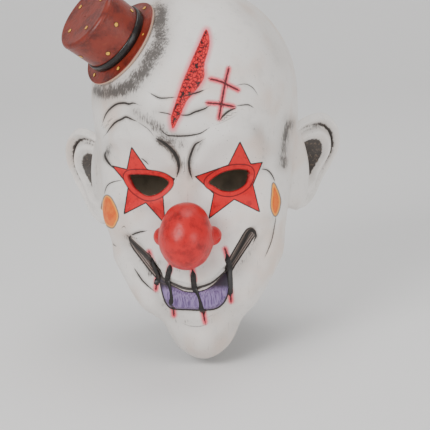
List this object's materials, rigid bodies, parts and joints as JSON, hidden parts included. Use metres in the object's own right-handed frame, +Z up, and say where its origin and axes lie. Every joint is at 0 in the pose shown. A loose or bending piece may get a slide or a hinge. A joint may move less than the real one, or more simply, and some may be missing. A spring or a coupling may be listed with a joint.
{
  "type": "clown mask",
  "caption": "Whole-head latex clown mask with eye holes, neck opening, flared ears, bulb nose, stitched mouth and a miniature top hat on the temple.",
  "frame": {"origin": "inside of the crown, where the top of the wearer's head carries the mask", "axes": "+Z up along the wearer's head, the face looks along -Y, +X to the wearer's left"},
  "size_m": [0.2648, 0.2714, 0.3446],
  "materials": {
    "painted_latex": "matt painted latex, off-white with dark washed-in folds",
    "nose_paint": "semi-gloss red paint",
    "hat_paint": "satin red-brown paint",
    "band_paint": "satin black paint",
    "stitch_paint": "satin black paint"
  },
  "bodies": {
    "root": {"head": "painted_latex", "ear_left": "painted_latex", "ear_right": "painted_latex", "nose": "nose_paint", "stitch_1": "stitch_paint", "stitch_2": "stitch_paint", "stitch_3": "stitch_paint", "stitch_4": "stitch_paint", "hat_crown": "hat_paint", "hat_brim": "hat_paint", "hat_band": "band_paint"}
  },
  "joints": []
}
